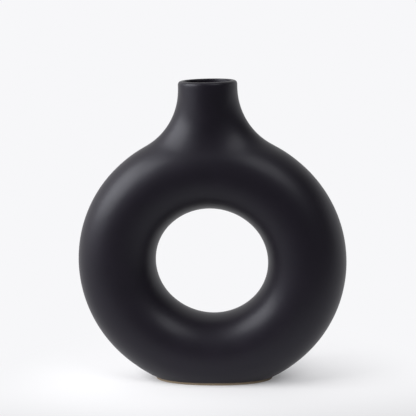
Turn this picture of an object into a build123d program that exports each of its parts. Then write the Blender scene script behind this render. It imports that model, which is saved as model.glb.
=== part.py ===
from build123d import *
from build123d.topology import SkipClean
import os
from math import sqrt

# Donut vase: a hollow stoneware ring cast in one piece with its neck, glazed matte black outside and in,
# and standing on a flat foot of bare clay.
# Millimetres. The origin is the middle of the foot on the table, +Z is up, and the hole runs along Y.

# The ring, measured over the glaze
ring_width = 180.0           # side to side
ring_height = 176.3          # top to bottom, before the foot is cut flat
tube_diameter = 52.2         # thickness of the ring
foot_cut = 7.7               # how far the table lies above the lowest point of the uncut ring

# The neck, measured over the glaze
neck_diameter = 39.0
shoulder_radius = 43.1       # hollow curve that runs from the neck out over the ring
straight_neck = 4.9          # upright part of the neck above the shoulder, lip included
lip_outer_radius = 2.2
lip_inner_radius = 1.0

# The layers of the wall, from outside to inside
glaze_thickness = 0.4
clay_thickness = 3.0
liner_thickness = 0.3
mouth_glaze_depth = 14.0     # the outer glaze comes over the lip and this far down the mouth

# The foot
floor_thickness = 5.5        # clay between the table and the inside floor
bare_foot_height = 1.7       # straight-sided clay that the glaze leaves bare above the table
foot_rim_width = 6.0         # flat rim that the vase stands on
foot_recess_depth = 1.2
foot_edge_radius = 0.5

# Cutting solids run this far past what they cut
cut_overrun = 2.0

# The ring's centre line is an oval of four arcs that meet tangent on the diagonals
tube_radius = tube_diameter / 2
centre_line_half_width = ring_width / 2 - tube_radius
centre_line_half_height = ring_height / 2 - tube_radius
arc_shift = (centre_line_half_width - centre_line_half_height) / (2 - sqrt(2))
side_arc_radius = centre_line_half_width - arc_shift
crown_arc_radius = side_arc_radius + sqrt(2) * arc_shift

# Heights above the table. The shoulder is highest where the ball that rolls it touches the neck's sides
ring_centre_height = ring_height / 2 - foot_cut
crown_centre_height = ring_centre_height - arc_shift
base_centre_height = ring_centre_height + arc_shift
ball_reach = crown_arc_radius + tube_radius + shoulder_radius
shoulder_top = crown_centre_height + sqrt(ball_reach**2 - (neck_diameter / 2 + shoulder_radius) ** 2)
vase_height = shoulder_top + straight_neck

# The straight foot is as long and as wide as the clay ring is where the glaze ends
clay_tube_radius = tube_radius - glaze_thickness
glaze_line_depth = base_centre_height - bare_foot_height
foot_half_length = sqrt((crown_arc_radius + clay_tube_radius) ** 2 - glaze_line_depth**2)
foot_half_width = sqrt(clay_tube_radius**2 - (glaze_line_depth - crown_arc_radius) ** 2)

# Depths of the layers below the glazed surface
clay_inner_inset = glaze_thickness + clay_thickness
wall_thickness = clay_inner_inset + liner_thickness
table = Plane.XY


def quarter_ring(centre_x, centre_z, arc_radius, start_angle, inset):
    """A quarter of the ring, round an arc in the XZ plane."""
    bend = Torus(arc_radius, tube_radius - inset, major_angle=90, align=None)
    return Pos(centre_x, 0, centre_z) * Rot(X=90) * Rot(Z=start_angle) * bend


def closed_ring(inset):
    """The whole ring, with its surface drawn in by the inset."""
    right = quarter_ring(arc_shift, ring_centre_height, side_arc_radius, -45, inset)
    top = quarter_ring(0, crown_centre_height, crown_arc_radius, 45, inset)
    left = quarter_ring(-arc_shift, ring_centre_height, side_arc_radius, 135, inset)
    bottom = quarter_ring(0, base_centre_height, crown_arc_radius, 225, inset)
    return right + top + left + bottom


def vase_form(inset, top_height):
    """Ring and neck as one solid, joined by the rolled shoulder. Forms of different inset lie parallel."""
    neck_foot = ring_centre_height + centre_line_half_height
    upright = (Align.CENTER, Align.CENTER, Align.MIN)
    neck = Cylinder(neck_diameter / 2 - inset, top_height - neck_foot, align=upright)
    with SkipClean():
        joined = closed_ring(inset) + Pos(0, 0, neck_foot) * neck
    seam = joined.edges().filter_by(GeomType.BSPLINE)
    return fillet(seam, shoulder_radius + inset)


def round_lip(hollow, outer_radius, inner_radius):
    """Rounds the two edges of the mouth, the outer one first."""
    for place, radius in ((-1, outer_radius), (0, inner_radius)):
        rim = hollow.faces().filter_by(Plane.XY).sort_by(Axis.Z)[-1]
        hollow = fillet(rim.edges().sort_by(SortBy.RADIUS)[place], radius)
    return hollow


def footed(form):
    """The form cut flat at the glaze line and carried straight down to the table."""
    upper = split(form, table.offset(bare_foot_height), keep=Keep.TOP)
    sole = upper.faces().sort_by(Axis.Z)[0]
    return upper + extrude(sole, bare_foot_height, dir=(0, 0, -1))


def vessel(outer_inset, inner_inset, top_height, floor_height):
    """The hollow vase between two parallel forms, on its foot and cut flat at the inside floor."""
    inside = vase_form(inner_inset, top_height + cut_overrun)
    hollow = split(inside, table.offset(floor_height), keep=Keep.TOP)
    return footed(vase_form(outer_inset, top_height)) - hollow


def foot_recess():
    """The shallow oval hollow under the foot, which leaves a rim of even width to stand on."""
    oval = Ellipse(foot_half_length - foot_rim_width, foot_half_width - foot_rim_width)
    return extrude(oval, foot_recess_depth)


def clay_vessel():
    """The bare pot as it comes out of the mould."""
    pot = vessel(glaze_thickness, clay_inner_inset, vase_height - glaze_thickness, floor_thickness)
    return round_lip(pot, lip_outer_radius - glaze_thickness, lip_inner_radius - liner_thickness)


def glaze_skin(clay):
    """Both coats of glaze as one skin round the clay, which the lip joins."""
    coated = vessel(0, wall_thickness, vase_height, floor_thickness + liner_thickness)
    return round_lip(coated, lip_outer_radius, lip_inner_radius) - clay


def finished_foot(clay):
    """The clay with its foot sponged round at the edge and hollowed underneath."""
    outline = clay.faces().sort_by(Axis.Z)[0].outer_wire().edges()
    return fillet(outline, foot_edge_radius) - foot_recess()


clay = clay_vessel()
skin = glaze_skin(clay)

# The two coats meet edge to edge inside the mouth
middle_of_wall = vase_form(glaze_thickness + clay_thickness / 2, vase_height)
inner_coat_space = split(middle_of_wall, table.offset(vase_height - mouth_glaze_depth), keep=Keep.BOTTOM)
outer_coat = split(skin - inner_coat_space, table.offset(bare_foot_height), keep=Keep.TOP)

nodes = {
    "clay_body": finished_foot(clay),
    "outer_glaze": outer_coat,
    "liner_glaze": skin & inner_coat_space,
}

os.makedirs("parts", exist_ok=True)
for name, solid in nodes.items():
    solid.label = name
    export_step(solid, f"parts/{name}.step")
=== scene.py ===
"""Looks of the donut vase: its coats of glaze, its bare clay foot and a pale studio floor."""
from math import atan2, copysign, cos, pi, radians, sin, sqrt

import bmesh
import bpy
from mathutils import Matrix, Vector


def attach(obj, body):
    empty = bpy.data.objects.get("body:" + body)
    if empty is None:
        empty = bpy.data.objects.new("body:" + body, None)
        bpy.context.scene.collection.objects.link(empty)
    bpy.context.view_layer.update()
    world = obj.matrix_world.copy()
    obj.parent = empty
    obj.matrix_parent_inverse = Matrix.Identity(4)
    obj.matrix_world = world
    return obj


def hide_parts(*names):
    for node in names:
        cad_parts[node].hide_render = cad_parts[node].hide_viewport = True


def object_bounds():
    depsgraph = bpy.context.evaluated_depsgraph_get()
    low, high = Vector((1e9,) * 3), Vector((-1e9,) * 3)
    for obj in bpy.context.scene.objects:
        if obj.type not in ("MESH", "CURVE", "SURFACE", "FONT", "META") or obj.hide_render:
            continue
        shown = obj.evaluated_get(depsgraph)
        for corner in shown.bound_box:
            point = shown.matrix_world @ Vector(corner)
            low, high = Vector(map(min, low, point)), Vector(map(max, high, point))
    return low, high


bl_info = {
    "name": "Donut Vase",
    "version": (1, 0, 0),
    "blender": (4, 5, 0),
    "location": "3D View > Sidebar > Vase",
    "description": "Builds the glaze coat of a ring-shaped vase and dresses its clay",
    "category": "Object",
}

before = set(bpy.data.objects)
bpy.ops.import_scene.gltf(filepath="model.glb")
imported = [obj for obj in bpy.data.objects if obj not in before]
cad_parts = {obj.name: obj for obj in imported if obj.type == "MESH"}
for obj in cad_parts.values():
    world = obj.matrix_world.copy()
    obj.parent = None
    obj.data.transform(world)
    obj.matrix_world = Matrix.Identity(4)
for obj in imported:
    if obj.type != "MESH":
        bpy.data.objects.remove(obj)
cad_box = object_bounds()

MM = 0.001
SENSOR_WIDTH = 36.0      # of the camera, in millimetres

# Quads of the glaze coat, before its subdivision
RING_STEPS = 96          # round the hole, from the top
TUBE_STEPS = 48          # round the tube, from its outermost line
TURN_STEP = 2 * pi / RING_STEPS
ROLL_STEP = 2 * pi / TUBE_STEPS
NECK_MIDDLE = 0          # step round the hole at which the neck stands
NECK_WINDOW = (10, 11)   # half the window there, in steps round the hole and round the tube
FOOT_MIDDLE = RING_STEPS // 2
FOOT_WINDOW = (9, 9)     # half the window that the foot leaves open, in the same steps
WINDOW_STEPS = 5
SHOULDER_STEPS = 12
NECK_STEPS = 6
LIP_STEPS = 4
MOUTH_STEPS = 6
EDGE_STEPS = 3

# The wiped edge of the glaze at the foot: its waves, each with their number, start and strength
SWAY_WAVES = ((3, 1.1, 1.0), (7, 0.0, 0.6))
EDGE_HALVINGS = 40       # by which the place of that edge is found on the ring

# Quads of the floor, out from the vase and round it
SWEEP_STEPS = 16
FLOOR_STEPS = 96

# Patterns of the materials, in millimetres
CLOUD_WIDTH = 14.0       # clouds in the matte glaze
CRYSTAL_WIDTH = 0.4      # its crystals are about 0.05 mm wide, and drawn coarser so that they show
CRYSTAL_DEPTH = 0.02
RUN_WIDTH = 9.0          # runs in the poured liner
RUN_DEPTH = 0.1
GROG_WIDTH = 0.8         # grains in the clay
GROG_DEPTH = 0.08

# Noise mostly keeps within the first span, and shows as grains of grog in the second
NOISE_SPAN = (0.3, 0.7)
GROG_SPAN = (0.55, 0.75)

# How rough the two glazes are where they are smoothest and roughest
MATTE_ROUGHNESS = (0.465, 0.505)
SATIN_ROUGHNESS = (0.28, 0.36)

# Sockets of a mix node that mixes colours
MIX_SHARE, MIX_FIRST, MIX_SECOND, MIX_RESULT = 0, 6, 7, 2


def linear(hex_colour):
    """An sRGB hex colour as linear red, green and blue."""
    channels = [int(hex_colour[k:k + 2], 16) / 255 for k in (1, 3, 5)]
    return tuple(c / 12.92 if c <= 0.04045 else ((c + 0.055) / 1.055) ** 2.4 for c in channels)


def length(name, millimetres, description):
    """A size in the sidebar, written here in millimetres."""
    return bpy.props.FloatProperty(
        name=name, description=description, default=millimetres * MM, unit="LENGTH", precision=5)


def angle(name, degrees, description):
    """An angle in the sidebar, written here in degrees."""
    return bpy.props.FloatProperty(
        name=name, description=description, default=radians(degrees), subtype="ANGLE")


def position(name, metres, description):
    """A place in the sidebar, written here in metres."""
    return bpy.props.FloatVectorProperty(
        name=name, description=description, default=metres, subtype="XYZ", unit="LENGTH", precision=5)


def direction(name, toward, description):
    """A direction in the sidebar, as seen from the vase."""
    return bpy.props.FloatVectorProperty(
        name=name, description=description, default=toward, subtype="DIRECTION")


def colour(name, hex_colour, description):
    """A colour in the sidebar, written here as sRGB hex."""
    return bpy.props.FloatVectorProperty(
        name=name, description=description, default=linear(hex_colour), subtype="COLOR", size=3,
        min=0, max=1)


class VaseSizes(bpy.types.PropertyGroup):
    """Sizes of the glazed vase, the same as its solids have, and the run of the glaze's wiped edge."""

    ring_width: length("Ring width", 180.0, "The ring side to side, over the glaze")
    ring_height: length("Ring height", 176.3, "The ring top to bottom, before the foot is cut flat")
    tube_diameter: length("Tube diameter", 52.2, "Thickness of the ring")
    foot_cut: length("Foot cut", 7.7, "How far the table lies above the lowest point of the uncut ring")
    neck_diameter: length("Neck diameter", 39.0, "The neck over the glaze")
    shoulder_radius: length("Shoulder radius", 43.1, "Hollow curve from the neck out over the ring")
    straight_neck: length("Straight neck", 4.9, "Upright part of the neck above the shoulder, lip included")
    lip_outer_radius: length("Outer lip radius", 2.2, "Round of the lip's outer edge")
    lip_inner_radius: length("Inner lip radius", 1.0, "Round of the lip's inner edge")
    wall_thickness: length("Wall thickness", 3.7, "Clay and both coats at the lip")
    coat_thickness: length("Coat thickness", 0.4, "Glaze on the outside")
    mouth_coat_thickness: length("Mouth coat thickness", 0.3, "Glaze inside the mouth")
    mouth_coat_depth: length("Mouth coat depth", 14.0, "How far the outer coat runs down the mouth")
    bare_foot: length("Bare foot", 1.7, "Height of the clay that the glaze leaves bare above the table")
    glaze_line_sag: length("Glaze line sag", 0.3, "How far the wiped edge hangs below that height")
    glaze_line_sway: length("Glaze line sway", 0.12, "How far the wiped edge wanders up and down")


class VaseColours(bpy.types.PropertyGroup):
    """Colours of the vase and its stage."""

    glaze: colour("Glaze", "#0d0811", "Matte black glaze")
    glaze_mottle: colour("Glaze mottle", "#120a16", "The lighter, slightly violet clouds in the glaze")
    glaze_sheen: colour("Glaze sheen", "#edf1ff", "Cool tint that the glaze gives what it mirrors")
    liner: colour("Liner", "#131214", "Satin black glaze inside")
    clay: colour("Clay", "#968772", "Bare buff stoneware")
    clay_grog: colour("Clay grog", "#6e6050", "Darker grains in the clay")
    floor: colour("Floor", "#f7f7f9", "Pale studio floor")
    # Painted shade: the floor is drawn darker toward the dim side of the studio, so that the vase's lower
    # half mirrors a dim floor there
    floor_painted_shade: colour("Dim floor", "#808084", "The floor on the dim side of the studio, outside the picture")


class VaseStage(bpy.types.PropertyGroup):
    """Camera, floor, lamps and surroundings."""

    eye: position("Eye", (0.10034, -0.90300, 0.26959), "Where the camera stands")
    aim: position("Aim", (-0.00159, 0.0, 0.11645), "Where the camera looks")
    tilt: angle("Tilt", -1.329, "How far the camera leans about its line of sight")
    lens: bpy.props.FloatProperty(
        name="Lens", description="Focal length on the camera's sensor", default=119.97,
        subtype="DISTANCE_CAMERA")
    floor_radius: length("Floor radius", 4000.0, "The flat floor, from the vase to where it bends up")
    sweep_radius: length("Sweep radius", 3000.0, "The bend by which the floor becomes the wall round it")
    glow_reach: length("Glow reach", 155.0, "How far out the floor comes to show only its own pale glow")
    # Where the painted shade on the floor starts and ends, and which way it lies
    painted_shade_start: length("Dim start", 0.0, "Where the floor starts to grade off, from the middle of the vase")
    painted_shade_end: length("Dim end", 350.0, "Where the floor is as dim as it gets")
    painted_shade_side: direction("Dim side", (0.18, -0.984, 0.0), "Which way the dim side of the studio lies")
    key_place: position("Key place", (-0.875, -0.349, 0.671), "Middle of the large soft box at the left")
    key_width: length("Key width", 855.2, "The soft box side to side")
    key_height: length("Key height", 726.4, "The soft box top to bottom")
    key_power: bpy.props.FloatProperty(
        name="Key power", description="Light of the soft box", default=15.24, unit="POWER")
    fill_side: direction(
        "Fill side", (0.431, -0.534, 0.727), "Which way the weak lamp at the upper right lies")
    fill_spread: angle("Fill spread", 31.4, "How large the weak lamp looks from the vase")
    fill_strength: bpy.props.FloatProperty(
        name="Fill strength", description="Light of the weak lamp", default=1.01)
    glow_side: direction("Glow side", (-0.33, 0.75, 0.57), "Which way the studio's pale wall and ceiling lie")
    glow: bpy.props.FloatProperty(
        name="Glow", description="Light from the studio's pale wall and ceiling", default=1.20)


class VaseForm:
    """The glazed outside in formulas.

    The ring is bent round four tangent arcs, and a ball rolled round the neck makes the shoulder.
    """

    def __init__(self, sizes):
        self.tube = sizes.tube_diameter / 2
        self.neck = sizes.neck_diameter / 2
        self.ball = sizes.shoulder_radius
        half_width = sizes.ring_width / 2 - self.tube
        half_height = sizes.ring_height / 2 - self.tube
        shift = (half_width - half_height) / (2 - sqrt(2))
        self.side_arc = half_width - shift
        self.crown_arc = self.side_arc + sqrt(2) * shift
        middle = sizes.ring_height / 2 - sizes.foot_cut
        self.crown_centre = Vector((0, 0, middle - shift))
        self.base_centre = Vector((0, 0, middle + shift))
        self.side_centre = Vector((shift, 0, middle))
        reach = self.crown_arc + self.tube + self.ball
        shoulder_top = self.crown_centre.z + sqrt(reach**2 - (self.neck + self.ball) ** 2)
        self.lip_height = shoulder_top + sizes.straight_neck

    def on_ring(self, turn, roll):
        """Place and outward direction on the ring.

        Turn goes round the hole from the top, and roll round the tube.
        """
        outward = Vector((sin(turn), 0, cos(turn)))
        if abs(outward.x) < abs(outward.z):
            arc, centre = self.crown_arc, self.crown_centre if outward.z > 0 else self.base_centre
        else:
            arc, centre = self.side_arc, self.side_centre.copy()
            centre.x = copysign(centre.x, outward.x)
        normal = outward * cos(roll) + Vector((0, sin(roll), 0))
        return centre + outward * arc + normal * self.tube, normal

    def shoulder_ball(self, swing):
        """Centre of the ball that touches neck and ring, and the turn and roll where it touches the ring."""
        x = (self.neck + self.ball) * cos(swing)
        y = (self.neck + self.ball) * sin(swing)
        arm = self.crown_arc + sqrt((self.tube + self.ball) ** 2 - y**2)
        z = sqrt(arm**2 - x**2)
        return self.crown_centre + Vector((x, y, z)), atan2(x, z), atan2(y, arm - self.crown_arc)


def window_border(half_turns, half_rolls):
    """Grid steps round a window of the ring's grid, from its middle, starting on its side at roll nought."""
    rising = [(half_turns, r) for r in range(-half_rolls, half_rolls)]
    back = [(t, half_rolls) for t in range(half_turns, -half_turns, -1)]
    falling = [(-half_turns, r) for r in range(half_rolls, -half_rolls, -1)]
    forth = [(t, -half_rolls) for t in range(-half_turns, half_turns)]
    loop = rising + back + falling + forth
    return loop[half_rolls:] + loop[:half_rolls]


def in_window(steps, middle, window):
    """Whether a grid point lies inside a window, its border left out."""
    turn = (steps[0] - middle + RING_STEPS // 2) % RING_STEPS - RING_STEPS // 2
    roll = (steps[1] + TUBE_STEPS // 2) % TUBE_STEPS - TUBE_STEPS // 2
    return abs(turn) < window[0] and abs(roll) < window[1]


def lip_profile(form, sizes):
    """Radius, height, lean and coat thickness over the lip, from the neck's side into the mouth."""
    top = form.lip_height
    bore = form.neck - sizes.wall_thickness
    outer, inner = sizes.lip_outer_radius, sizes.lip_inner_radius
    mouth = sizes.mouth_coat_depth - inner
    rows = []
    for middle, rounding, start, thickness in (
            (form.neck - outer, outer, 0, sizes.coat_thickness),
            (bore + inner, inner, pi / 2, sizes.mouth_coat_thickness)):
        for step in range(LIP_STEPS + 1):
            lean = start + pi / 2 * step / LIP_STEPS
            height = top - rounding + rounding * sin(lean)
            rows.append((middle + rounding * cos(lean), height, lean, thickness))
    for step in range(1, MOUTH_STEPS + 1):
        height = top - inner - mouth * step / MOUTH_STEPS
        rows.append((bore, height, pi, sizes.mouth_coat_thickness))
    return rows


def glaze_line_height(sizes, swing):
    """Height of the wiped edge of the glaze on one side of the foot."""
    sway = sum(strength * sin(number * swing + start) for number, start, strength in SWAY_WAVES)
    most = sum(strength for _number, _start, strength in SWAY_WAVES)
    return sizes.bare_foot - sizes.glaze_line_sag + sizes.glaze_line_sway * sway / most


def ring_share_at(form, way, height):
    """Where the ring reaches a height, as a share of the way from the foot window's middle to its border."""
    low, high = 0.0, 1.0
    for _ in range(EDGE_HALVINGS):
        share = (low + high) / 2
        place, _normal = form.on_ring(pi + share * way[0], share * way[1])
        low, high = (share, high) if place.z < height else (low, share)
    return high


class CoatSide:
    """One side of the glaze coat in quads, from the foot over ring, shoulder and lip into the mouth."""

    def __init__(self, mesh, form, sizes, inside):
        self.mesh = mesh
        self.form = form
        self.sizes = sizes
        self.inside = inside
        self.grid = self.lay_ring()
        self.mouth_row = self.join(self.neck_rows())
        self.foot_row = self.join(self.foot_rows())

    def put(self, place, normal, thickness):
        """A corner on the outside, or as far under it as the coat is thick."""
        return self.mesh.verts.new(place - normal * thickness if self.inside else place)

    def put_on_ring(self, turn, roll):
        """A corner on the ring."""
        return self.put(*self.form.on_ring(turn, roll), self.sizes.coat_thickness)

    def join(self, rows):
        """Fills the space between closed rows with quads, and gives the last row."""
        for low, high in zip(rows, rows[1:]):
            for k in range(len(low)):
                self.mesh.faces.new((low[k - 1], low[k], high[k], high[k - 1]))
        return rows[-1]

    def lay_ring(self):
        """The ring with its two windows left open. Gives its corners by their grid steps."""
        grid = {}
        for turn in range(RING_STEPS):
            for roll in range(TUBE_STEPS):
                steps = (turn, roll)
                in_neck = in_window(steps, NECK_MIDDLE, NECK_WINDOW)
                if not in_neck and not in_window(steps, FOOT_MIDDLE, FOOT_WINDOW):
                    grid[steps] = self.put_on_ring(turn * TURN_STEP, roll * ROLL_STEP)
        for turn, roll in grid:
            ahead, beside = (turn + 1) % RING_STEPS, (roll + 1) % TUBE_STEPS
            corners = [(turn, roll), (ahead, roll), (ahead, beside), (turn, beside)]
            if all(c in grid for c in corners):
                self.mesh.faces.new([grid[c] for c in corners])
        return grid

    def border_row(self, middle, border):
        """The ring's own corners round a window."""
        return [self.grid[(turn + middle) % RING_STEPS, roll % TUBE_STEPS] for turn, roll in border]

    def neck_rows(self):
        """Rows from the ring up over the shoulder, the neck and the lip into the mouth."""
        form, coat = self.form, self.sizes.coat_thickness
        border = window_border(*NECK_WINDOW)
        swings = [2 * pi * k / len(border) for k in range(len(border))]
        sides = [Vector((cos(swing), sin(swing), 0)) for swing in swings]
        balls = [form.shoulder_ball(swing) for swing in swings]
        rows = [self.border_row(NECK_MIDDLE, border)]

        # From the border of the window in to the line where the ball touches the ring, then up the shoulder
        for step in range(1, WINDOW_STEPS + 1):
            share = step / WINDOW_STEPS
            row = []
            for (turn_steps, roll_steps), (_centre, turn, roll) in zip(border, balls):
                start_turn, start_roll = turn_steps * TURN_STEP, roll_steps * ROLL_STEP
                row.append(self.put_on_ring(
                    start_turn + (turn - start_turn) * share, start_roll + (roll - start_roll) * share))
            rows.append(row)
        for step in range(1, SHOULDER_STEPS + 1):
            row = []
            for side, (centre, turn, roll) in zip(sides, balls):
                _place, start = form.on_ring(turn, roll)
                normal = start.slerp(side, step / SHOULDER_STEPS)
                row.append(self.put(centre - normal * form.ball, normal, coat))
            rows.append(row)

        # The straight neck, the lip and the mouth
        profile = lip_profile(form, self.sizes)
        lip_start = profile[0][1]
        for step in range(1, NECK_STEPS):
            row = []
            for side, (centre, _turn, _roll) in zip(sides, balls):
                height = centre.z + (lip_start - centre.z) * step / NECK_STEPS
                row.append(self.put(side * form.neck + Vector((0, 0, height)), side, coat))
            rows.append(row)
        for radius, height, lean, thickness in profile:
            row = []
            for side in sides:
                normal = side * cos(lean) + Vector((0, 0, sin(lean)))
                row.append(self.put(side * radius + Vector((0, 0, height)), normal, thickness))
            rows.append(row)
        return rows

    def foot_rows(self):
        """Rows from the ring down to the edge of the glaze at the foot."""
        form, coat = self.form, self.sizes.coat_thickness
        border = window_border(*FOOT_WINDOW)
        rows = [self.border_row(FOOT_MIDDLE, border)]
        ends = []
        for k, (turn_steps, roll_steps) in enumerate(border):
            line = glaze_line_height(self.sizes, 2 * pi * k / len(border))
            way = (turn_steps * TURN_STEP, roll_steps * ROLL_STEP)
            ends.append((way, ring_share_at(form, way, line + coat), ring_share_at(form, way, line)))

        # From the border of the window in to where the edge of the glaze starts
        for step in range(1, WINDOW_STEPS + 1):
            row = []
            for way, upper, _lower in ends:
                share = 1 - (1 - upper) * step / WINDOW_STEPS
                row.append(self.put_on_ring(pi + way[0] * share, way[1] * share))
            rows.append(row)

        # Inside, the coat runs on down to the glaze line
        if self.inside:
            rows.append([
                self.put_on_ring(pi + way[0] * lower, way[1] * lower) for way, _upper, lower in ends])
            return rows

        # Outside, the edge of the glaze is round, as surface tension leaves it
        for step in range(1, EDGE_STEPS):
            lean = pi / 2 * step / EDGE_STEPS
            row = []
            for way, upper, lower in ends:
                share = upper + (lower - upper) * sin(lean)
                place, normal = form.on_ring(pi + way[0] * share, way[1] * share)
                row.append(self.put(place - normal * coat * (1 - cos(lean)), normal, coat))
            rows.append(row)
        return rows


def new_object(scene, name, data):
    """An object in the scene."""
    made = bpy.data.objects.new(name, data)
    scene.collection.objects.link(made)
    return made


def smooth_mesh(name, mesh):
    """Smoothly shaded mesh data from a bmesh, which is freed."""
    data = bpy.data.meshes.new(name)
    mesh.to_mesh(data)
    mesh.free()
    data.shade_smooth()
    return data


def add_node(tree, kind, settings=None, inputs=None):
    """Adds one node with its settings. An input takes a plain value or the output socket of another node."""
    made = tree.nodes.new(kind)
    for key, value in (settings or {}).items():
        setattr(made, key, value)
    for key, value in (inputs or {}).items():
        if isinstance(value, bpy.types.NodeSocket):
            tree.links.new(value, made.inputs[key])
        else:
            made.inputs[key].default_value = value
    return made


def noise(tree, place, width, detail, roughness):
    """Noise whose features are this many millimetres wide."""
    made = add_node(tree, "ShaderNodeTexNoise", inputs={
        "Vector": place, "Scale": 1 / (width * MM), "Detail": detail, "Roughness": roughness})
    return made.outputs["Fac"]


def remap(tree, value, span, result=(0.0, 1.0), interpolation="LINEAR"):
    """A value carried from one span over to another, and held at the ends."""
    made = add_node(tree, "ShaderNodeMapRange", {"interpolation_type": interpolation}, {
        "Value": value, "From Min": span[0], "From Max": span[1], "To Min": result[0], "To Max": result[1]})
    return made.outputs["Result"]


def mix_colours(tree, share, first, second):
    """Two colours mixed, all of the second where the share is one."""
    made = add_node(tree, "ShaderNodeMix", {"data_type": "RGBA"}, {
        MIX_SHARE: share, MIX_FIRST: (*first, 1), MIX_SECOND: (*second, 1)})
    return made.outputs[MIX_RESULT]


def relief(tree, height, strength, depth):
    """Normals of a relief that is this many millimetres deep."""
    made = add_node(tree, "ShaderNodeBump", inputs={
        "Strength": strength, "Distance": depth * MM, "Height": height})
    return made.outputs["Normal"]


def combine(tree, operation, first, second):
    """Two values combined by a math operation."""
    made = add_node(tree, "ShaderNodeMath", {"operation": operation}, {0: first, 1: second})
    return made.outputs["Value"]


def reach_toward(tree, place, side):
    """How far a place lies in a direction."""
    made = add_node(tree, "ShaderNodeVectorMath", {"operation": "DOT_PRODUCT"}, {0: place, 1: side})
    return made.outputs["Value"]


def new_material(name):
    """A node material that is still empty, its tree, and the place on the object that patterns follow."""
    material = bpy.data.materials.new(name)
    material.use_nodes = True
    tree = material.node_tree
    tree.nodes.clear()
    return material, tree, add_node(tree, "ShaderNodeTexCoord").outputs["Object"]


def show(tree, shader):
    """Makes a shader the surface of its material."""
    add_node(tree, "ShaderNodeOutputMaterial", inputs={"Surface": shader})


def matte_black_glaze(colours):
    """Matte black stoneware glaze, dipped and fired."""
    # Fine crystals in the fired surface scatter the light: highlights are broad and soft, and the black is
    # even with faint clouds and a breath of violet. The thin glassy skin between the crystals gives the
    # highlights a tighter core.
    material, tree, place = new_material("dipped_matte_black_glaze")
    clouds = noise(tree, place, CLOUD_WIDTH, detail=3.0, roughness=0.55)
    crystals = noise(tree, place, CRYSTAL_WIDTH, detail=2.0, roughness=0.6)
    shader = add_node(tree, "ShaderNodeBsdfPrincipled", inputs={
        "Base Color": mix_colours(tree, clouds, colours.glaze, colours.glaze_mottle),
        "Roughness": remap(tree, clouds, NOISE_SPAN, MATTE_ROUGHNESS),
        "IOR": 1.5,
        "Specular IOR Level": 0.30,
        "Specular Tint": (*colours.glaze_sheen, 1),
        "Coat Weight": 0.12,
        "Coat Roughness": 0.29,
        "Normal": relief(tree, crystals, strength=0.25, depth=CRYSTAL_DEPTH)})
    show(tree, shader.outputs["BSDF"])
    return material


def satin_black_glaze(colours):
    """Satin black liner glaze, poured in and out."""
    # Poured glaze flows out smoother than the dipped coat, so the inside is darker with a tighter sheen.
    material, tree, place = new_material("poured_satin_black_glaze")
    runs = noise(tree, place, RUN_WIDTH, detail=2.0, roughness=0.5)
    shader = add_node(tree, "ShaderNodeBsdfPrincipled", inputs={
        "Base Color": (*colours.liner, 1),
        "Roughness": remap(tree, runs, NOISE_SPAN, SATIN_ROUGHNESS),
        "IOR": 1.5,
        "Normal": relief(tree, runs, strength=0.2, depth=RUN_DEPTH)})
    show(tree, shader.outputs["BSDF"])
    return material


def bare_stoneware(colours):
    """Unglazed buff stoneware, sponged at the foot."""
    # Dry and open grained: no gloss, a warm buff with fine darker grains of grog.
    material, tree, place = new_material("sponged_buff_stoneware")
    grog = noise(tree, place, GROG_WIDTH, detail=3.0, roughness=0.7)
    shader = add_node(tree, "ShaderNodeBsdfPrincipled", inputs={
        "Base Color": mix_colours(tree, remap(tree, grog, GROG_SPAN), colours.clay, colours.clay_grog),
        "Roughness": 0.85,
        "IOR": 1.5,
        "Specular IOR Level": 0.25,
        "Normal": relief(tree, grog, strength=0.5, depth=GROG_DEPTH)})
    show(tree, shader.outputs["BSDF"])
    return material


def pale_floor(colours, stage):
    """Matt white board, with painted shade that darkens it toward the dim side of the studio."""
    # Without gloss, so that the vase's soft shadow shows on it beside the painted shade. The shadow lies
    # close to the vase. Further out the eye sees the board's own colour as an even glow, darkened by the same
    # painted shade.
    material, tree, place = new_material("white_board_with_painted_shade")
    painted_shade_span = (stage.painted_shade_start, stage.painted_shade_end)
    # Painted shade: the board's colour grades darker toward the dim side, standing in for a floor in less
    # light there
    painted_shade = remap(tree, reach_toward(tree, place, stage.painted_shade_side), painted_shade_span, interpolation="SMOOTHSTEP")
    tone = mix_colours(tree, painted_shade, colours.floor, colours.floor_painted_shade)
    board = add_node(tree, "ShaderNodeBsdfDiffuse", inputs={"Color": tone})
    glow = add_node(tree, "ShaderNodeEmission", inputs={"Color": tone, "Strength": 1.0})
    ray = add_node(tree, "ShaderNodeLightPath").outputs
    seen = combine(tree, "MAXIMUM", ray["Is Camera Ray"], ray["Is Glossy Ray"])
    seen = combine(tree, "MAXIMUM", seen, ray["Is Transmission Ray"])
    away = add_node(tree, "ShaderNodeVectorMath", {"operation": "LENGTH"}, {0: place}).outputs["Value"]
    lift = remap(tree, away, (0.0, stage.glow_reach), interpolation="SMOOTHSTEP")
    shader = add_node(tree, "ShaderNodeMixShader", inputs={
        0: combine(tree, "MULTIPLY", seen, lift), 1: board.outputs["BSDF"], 2: glow.outputs["Emission"]})
    show(tree, shader.outputs["Shader"])
    return material


def dress(node_name, material):
    """Gives a solid of the frame its material in every slot."""
    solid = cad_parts[node_name]
    for slot in solid.material_slots:
        slot.material = material
    if not solid.material_slots:
        solid.data.materials.append(material)


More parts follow.
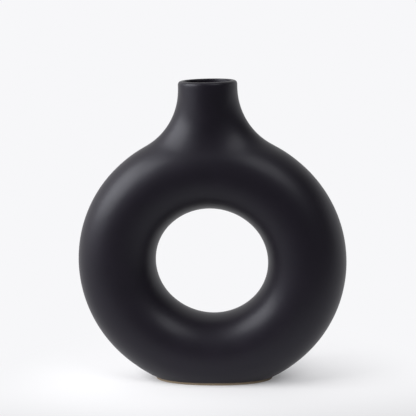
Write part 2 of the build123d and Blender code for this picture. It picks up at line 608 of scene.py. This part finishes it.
class VASE_OT_outer_glaze(bpy.types.Operator):
    """Build the coat of matte black glaze on the outside, from the foot over the lip into the mouth"""

    bl_idname = "vase.outer_glaze"
    bl_label = "Outer Glaze"
    bl_options = {"REGISTER", "UNDO"}

    def execute(self, context):
        sizes = context.scene.vase_sizes
        form = VaseForm(sizes)
        mesh = bmesh.new()
        outer = CoatSide(mesh, form, sizes, inside=False)
        inner = CoatSide(mesh, form, sizes, inside=True)
        outer.join([outer.foot_row, inner.foot_row])
        outer.join([outer.mouth_row, inner.mouth_row])
        # The coat ends square in the mouth, where the liner meets it
        crease = mesh.edges.layers.float.new("crease_edge")
        for row in (outer.mouth_row, inner.mouth_row):
            for k in range(len(row)):
                mesh.edges.get((row[k - 1], row[k]))[crease] = 1.0
        bmesh.ops.recalc_face_normals(mesh, faces=mesh.faces)
        coat = new_object(context.scene, "outer_glaze_coat", smooth_mesh("outer_glaze_coat", mesh))
        smooth = coat.modifiers.new("smooth", "SUBSURF")
        smooth.levels = smooth.render_levels = 1
        coat.data.materials.append(matte_black_glaze(context.scene.vase_colours))
        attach(coat, "root")
        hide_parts("outer_glaze")
        return {"FINISHED"}


class VASE_OT_liner_glaze(bpy.types.Operator):
    """Dress the poured coat of glaze inside the ring"""

    bl_idname = "vase.liner_glaze"
    bl_label = "Liner Glaze"
    bl_options = {"REGISTER", "UNDO"}

    def execute(self, context):
        dress("liner_glaze", satin_black_glaze(context.scene.vase_colours))
        return {"FINISHED"}


class VASE_OT_clay_body(bpy.types.Operator):
    """Dress the stoneware, which shows at the foot"""

    bl_idname = "vase.clay_body"
    bl_label = "Clay Body"
    bl_options = {"REGISTER", "UNDO"}

    def execute(self, context):
        dress("clay_body", bare_stoneware(context.scene.vase_colours))
        return {"FINISHED"}


class VASE_OT_stage(bpy.types.Operator):
    """Set the floor, the lamps, the surroundings and the camera"""

    bl_idname = "vase.stage"
    bl_label = "Stage"
    bl_options = {"REGISTER", "UNDO"}

    def execute(self, context):
        scene = context.scene
        self.make_floor(scene)
        self.make_key_lamp(scene)
        self.make_fill_lamp(scene)
        self.make_world(scene)
        self.make_camera(scene)
        scene.view_settings.view_transform = "Standard"
        return {"FINISHED"}

    def make_floor(self, scene):
        stage = scene.vase_stage
        profile = [(0.0, 0.0)]
        for step in range(SWEEP_STEPS + 1):
            bend = pi / 2 * step / SWEEP_STEPS
            out = stage.floor_radius + stage.sweep_radius * sin(bend)
            profile.append((out, stage.sweep_radius * (1 - cos(bend))))
        mesh = bmesh.new()
        corners = [mesh.verts.new((out, 0, up)) for out, up in profile]
        edges = [mesh.edges.new(pair) for pair in zip(corners, corners[1:])]
        bmesh.ops.spin(
            mesh, geom=corners + edges, axis=(0, 0, 1), cent=(0, 0, 0), angle=2 * pi, steps=FLOOR_STEPS,
            use_merge=True)
        bmesh.ops.remove_doubles(mesh, verts=mesh.verts, dist=MM)
        floor = new_object(scene, "floor", smooth_mesh("floor", mesh))
        floor.data.materials.append(pale_floor(scene.vase_colours, stage))
        # The lamps shine in over the wall as if it were not there
        floor.visible_shadow = False

    def make_key_lamp(self, scene):
        stage = scene.vase_stage
        data = bpy.data.lights.new("key_lamp", "AREA")
        data.shape = "RECTANGLE"
        data.size, data.size_y = stage.key_width, stage.key_height
        data.energy = stage.key_power
        low, high = cad_box
        place, middle = Vector(stage.key_place), (Vector(low) + Vector(high)) / 2
        turn = (place - middle).to_track_quat("Z", "Y").to_matrix().to_4x4()
        new_object(scene, "key_lamp", data).matrix_world = Matrix.Translation(place) @ turn

    def make_fill_lamp(self, scene):
        stage = scene.vase_stage
        data = bpy.data.lights.new("fill_lamp", "SUN")
        data.energy = stage.fill_strength
        data.angle = stage.fill_spread
        lamp = new_object(scene, "fill_lamp", data)
        lamp.rotation_mode = "QUATERNION"
        lamp.rotation_quaternion = Vector(stage.fill_side).to_track_quat("Z", "Y")

    def make_world(self, scene):
        stage = scene.vase_stage
        world = bpy.data.worlds.new("studio")
        world.use_nodes = True
        tree = world.node_tree
        tree.nodes.clear()
        toward = add_node(tree, "ShaderNodeTexCoord").outputs["Generated"]
        side = reach_toward(tree, toward, stage.glow_side)
        glow = remap(tree, side, (0.0, 1.0), (0.0, stage.glow), interpolation="SMOOTHSTEP")
        light = add_node(tree, "ShaderNodeBackground", inputs={"Strength": glow})
        add_node(tree, "ShaderNodeOutputWorld", inputs={"Surface": light.outputs["Background"]})
        scene.world = world

    def make_camera(self, scene):
        stage = scene.vase_stage
        data = bpy.data.cameras.new("camera")
        data.lens = stage.lens
        data.sensor_width = SENSOR_WIDTH
        eye, aim = Vector(stage.eye), Vector(stage.aim)
        turn = (aim - eye).to_track_quat("-Z", "Y").to_matrix().to_4x4()
        camera = new_object(scene, "camera", data)
        camera.matrix_world = Matrix.Translation(eye) @ turn @ Matrix.Rotation(stage.tilt, 4, "Z")
        scene.camera = camera


class VASE_PT_sidebar(bpy.types.Panel):
    """The vase's pieces, sizes and colours"""

    bl_label = "Donut Vase"
    bl_space_type = "VIEW_3D"
    bl_region_type = "UI"
    bl_category = "Vase"

    def draw(self, context):
        layout = self.layout
        for operator in OPERATORS:
            layout.operator(operator.bl_idname)
        for group in (context.scene.vase_sizes, context.scene.vase_colours, context.scene.vase_stage):
            box = layout.box()
            for key in group.__annotations__:
                box.prop(group, key)


OPERATORS = (VASE_OT_outer_glaze, VASE_OT_liner_glaze, VASE_OT_clay_body, VASE_OT_stage)
GROUPS = {"vase_sizes": VaseSizes, "vase_colours": VaseColours, "vase_stage": VaseStage}


def register():
    for name, group in GROUPS.items():
        bpy.utils.register_class(group)
        setattr(bpy.types.Scene, name, bpy.props.PointerProperty(type=group))
    for kind in (*OPERATORS, VASE_PT_sidebar):
        bpy.utils.register_class(kind)


def unregister():
    for kind in (VASE_PT_sidebar, *reversed(OPERATORS)):
        bpy.utils.unregister_class(kind)
    for name, group in GROUPS.items():
        delattr(bpy.types.Scene, name)
        bpy.utils.unregister_class(group)


def main():
    register()
    bpy.ops.vase.outer_glaze()
    bpy.ops.vase.liner_glaze()
    bpy.ops.vase.clay_body()
    bpy.ops.vase.stage()


if __name__ == "__main__":
    main()
